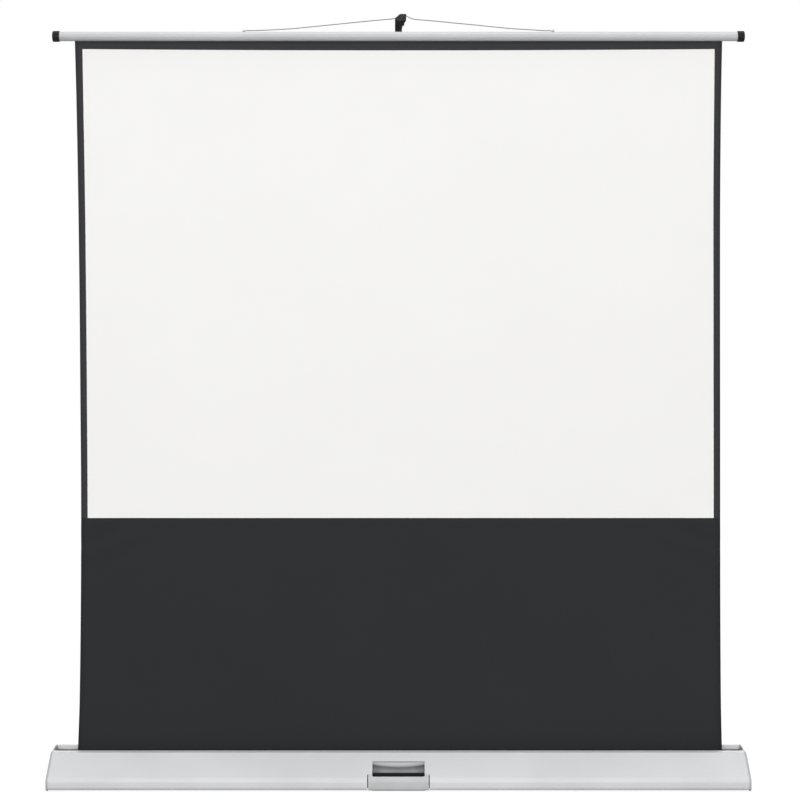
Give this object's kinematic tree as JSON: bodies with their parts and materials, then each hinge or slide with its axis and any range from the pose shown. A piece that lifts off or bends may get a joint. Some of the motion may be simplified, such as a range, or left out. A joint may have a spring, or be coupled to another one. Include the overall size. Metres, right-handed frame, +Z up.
{
  "type": "portable projection screen",
  "caption": "Free-standing pull-up projection screen: white fabric with a black border hangs on a folding telescopic mast and rolls into a low floor case with a carry handle.",
  "frame": {"origin": "on the floor, under the middle of the whole screen's box", "axes": "+Z up, front of the screen faces -Y, +X to the right seen from the front"},
  "size_m": [1.776, 0.217, 1.972],
  "materials": {
    "satin_aluminium": "satin silver, fine lengthwise grain",
    "silver_plastic": "matt moulded silver grey",
    "grey_plastic": "matt moulded light grey",
    "dark_plastic": "matt moulded dark grey",
    "black_plastic": "matt moulded black",
    "white_plastic": "plain extruded",
    "black_rubber": "matt",
    "zinc_steel": "zinc plated",
    "screen_cloth": "matt white projection cloth with a black border and black back",
    "grey_cord": "braided cord"
  },
  "bodies": {
    "case": {"base_tray": "satin_aluminium", "front_cover": "satin_aluminium", "end_cap_left": "silver_plastic", "end_cap_right": "silver_plastic", "end_cap_screw_1": "zinc_steel", "end_cap_screw_2": "zinc_steel", "end_cap_screw_3": "zinc_steel", "end_cap_screw_4": "zinc_steel", "end_cap_screw_5": "zinc_steel", "end_cap_screw_6": "zinc_steel", "handle_pocket": "dark_plastic", "handle_grip": "grey_plastic", "handle_screw_1": "zinc_steel", "handle_screw_2": "zinc_steel", "foot_pad_1": "black_rubber", "foot_pad_2": "black_rubber", "foot_pad_3": "black_rubber", "foot_pad_4": "black_rubber", "roller_bracket_left": "zinc_steel", "roller_bracket_right": "zinc_steel", "roller_bracket_screw_left": "zinc_steel", "roller_bracket_screw_right": "zinc_steel", "spring_shaft": "zinc_steel", "idler_pin": "zinc_steel", "screen_fabric": "screen_cloth", "mast_bracket": "zinc_steel", "mast_bracket_screw_1": "zinc_steel", "mast_bracket_screw_2": "zinc_steel", "mast_bracket_screw_3": "zinc_steel", "mast_pivot_bolt": "zinc_steel", "mast_cradle": "black_plastic", "cradle_screw_1": "zinc_steel", "cradle_screw_2": "zinc_steel"},
    "roller": {"roller_tube": "satin_aluminium", "roller_wrap": "screen_cloth", "roller_plug_left": "black_plastic", "roller_plug_right": "black_plastic", "roller_spring": "zinc_steel"},
    "top_bar": {"top_bar_tube": "satin_aluminium", "top_bar_cap_left": "black_plastic", "top_bar_cap_right": "black_plastic", "hem_rod": "white_plastic", "cord_eyelet_left": "black_plastic", "cord_eyelet_right": "black_plastic", "hanging_cord": "grey_cord"},
    "knob": {"pivot_knob": "black_plastic"},
    "mast_lower": {"mast_lower_tube": "satin_aluminium", "mast_foot": "black_plastic", "lower_collar": "black_plastic", "lower_collar_pin": "zinc_steel"},
    "lower_clamp_lever": {"lower_lever": "black_plastic"},
    "mast_middle": {"mast_middle_tube": "satin_aluminium", "middle_glide": "black_plastic", "upper_collar": "black_plastic", "upper_collar_pin": "zinc_steel"},
    "upper_clamp_lever": {"upper_lever": "black_plastic"},
    "mast_upper": {"mast_upper_tube": "satin_aluminium", "upper_glide": "black_plastic", "mast_hook": "black_plastic"}
  },
  "joints": [
    {"name": "screen_lift", "type": "slide", "parent": "case", "child": "top_bar", "axis": [0, 0, 1], "range_m": [-1.84, 0], "deforming": ["screen_fabric"]},
    {"name": "roller_spin", "type": "hinge", "parent": "case", "child": "roller", "pos_m": [0, 0.0095, 0.031], "axis": [1, 0, 0], "range_deg": [-5100, 0]},
    {"name": "mast_fold", "type": "hinge", "parent": "case", "child": "mast_lower", "pos_m": [0, 0.07145, 0.045], "axis": [0, 1, 0], "range_deg": [0, 90]},
    {"name": "middle_slide", "type": "slide", "parent": "mast_lower", "child": "mast_middle", "axis": [0, 0, 1], "range_m": [-0.49, 0]},
    {"name": "upper_slide", "type": "slide", "parent": "mast_middle", "child": "mast_upper", "axis": [0, 0, 1], "range_m": [-0.49, 0]},
    {"name": "lower_lever_swing", "type": "hinge", "parent": "mast_lower", "child": "lower_clamp_lever", "pos_m": [-0.0197, 0.07145, 0.794], "axis": [0, 0, 1], "range_deg": [0, 110]},
    {"name": "upper_lever_swing", "type": "hinge", "parent": "mast_middle", "child": "upper_clamp_lever", "pos_m": [-0.0177, 0.07145, 1.364], "axis": [0, 0, 1], "range_deg": [0, 110]},
    {"name": "knob_turn", "type": "hinge", "parent": "case", "child": "knob", "pos_m": [0, 0.08845, 0.045], "axis": [0, 1, 0], "range_deg": [0, 270]}
  ],
  "couplings": [
    {"joint": "roller_spin", "follows": "screen_lift", "rad_per_m": 47.84}
  ]
}
